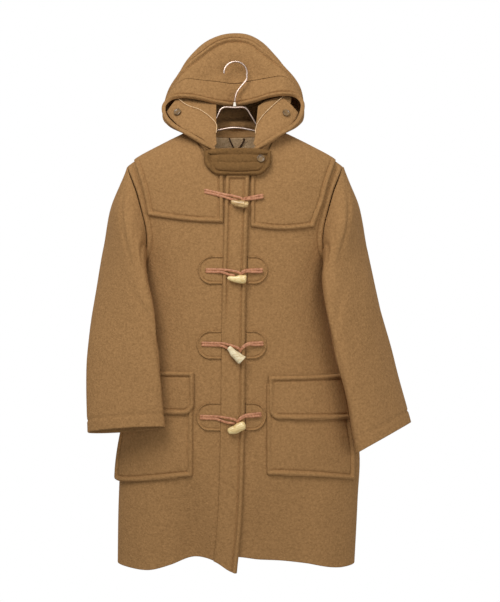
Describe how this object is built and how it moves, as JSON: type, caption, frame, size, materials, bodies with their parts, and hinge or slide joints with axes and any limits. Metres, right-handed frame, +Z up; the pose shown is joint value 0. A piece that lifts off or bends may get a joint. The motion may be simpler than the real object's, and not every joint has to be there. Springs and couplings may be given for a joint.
{
  "type": "duffle coat on a wire hanger",
  "caption": "Camel wool duffle coat with a hood, horn toggles, a placket and flap pockets, hanging closed on a wire hanger.",
  "frame": {"origin": "top of the inside of the hanger's hook, where a rail carries it", "axes": "+Z up, the coat's front faces -Y, and +X is the viewer's right seen from the front"},
  "size_m": [0.7048, 0.2446, 1.1791],
  "materials": {
    "camel_wool": "heavy brushed wool melton",
    "facing_cloth": "lighter woven facing",
    "leather": "flat strap with stitched edges",
    "horn": "polished pale horn",
    "dark_horn": "polished brown horn",
    "braid": "braided cord",
    "hanger_steel": "bright wire",
    "white_collar": "moulded collar"
  },
  "bodies": {
    "root": {"back": "camel_wool", "front_left": "camel_wool", "front_right": "camel_wool", "sleeve_left": "camel_wool", "sleeve_right": "camel_wool", "yoke_front_left": "camel_wool", "yoke_front_right": "camel_wool", "yoke_back": "camel_wool", "placket": "camel_wool", "patch_left_2": "camel_wool", "patch_right_2": "camel_wool", "patch_left_3": "camel_wool", "patch_right_3": "camel_wool", "patch_left_4": "camel_wool", "patch_right_4": "camel_wool", "loop_1": "leather", "tab_1": "leather", "toggle_1": "horn", "loop_2": "leather", "tab_2": "leather", "toggle_2": "horn", "loop_3": "leather", "tab_3": "leather", "toggle_3": "horn", "loop_4": "leather", "tab_4": "leather", "toggle_4": "horn", "pocket_left": "camel_wool", "pocket_flap_left": "camel_wool", "pocket_right": "camel_wool", "pocket_flap_right": "camel_wool", "hood_band": "camel_wool", "hood_crown": "camel_wool", "hood_back": "camel_wool", "hood_facing_left": "camel_wool", "hood_turn_in_left": "camel_wool", "hood_facing_right": "camel_wool", "hood_turn_in_right": "camel_wool", "hood_button_left": "dark_horn", "hood_button_right": "dark_horn", "throat_flap": "camel_wool", "throat_button": "dark_horn", "neck_facing": "facing_cloth", "hanging_loop": "braid", "hanger_hook": "hanger_steel", "hanger_collar": "white_collar", "hanger_frame": "hanger_steel", "hanger_arms": "hanger_steel"}
  },
  "joints": []
}
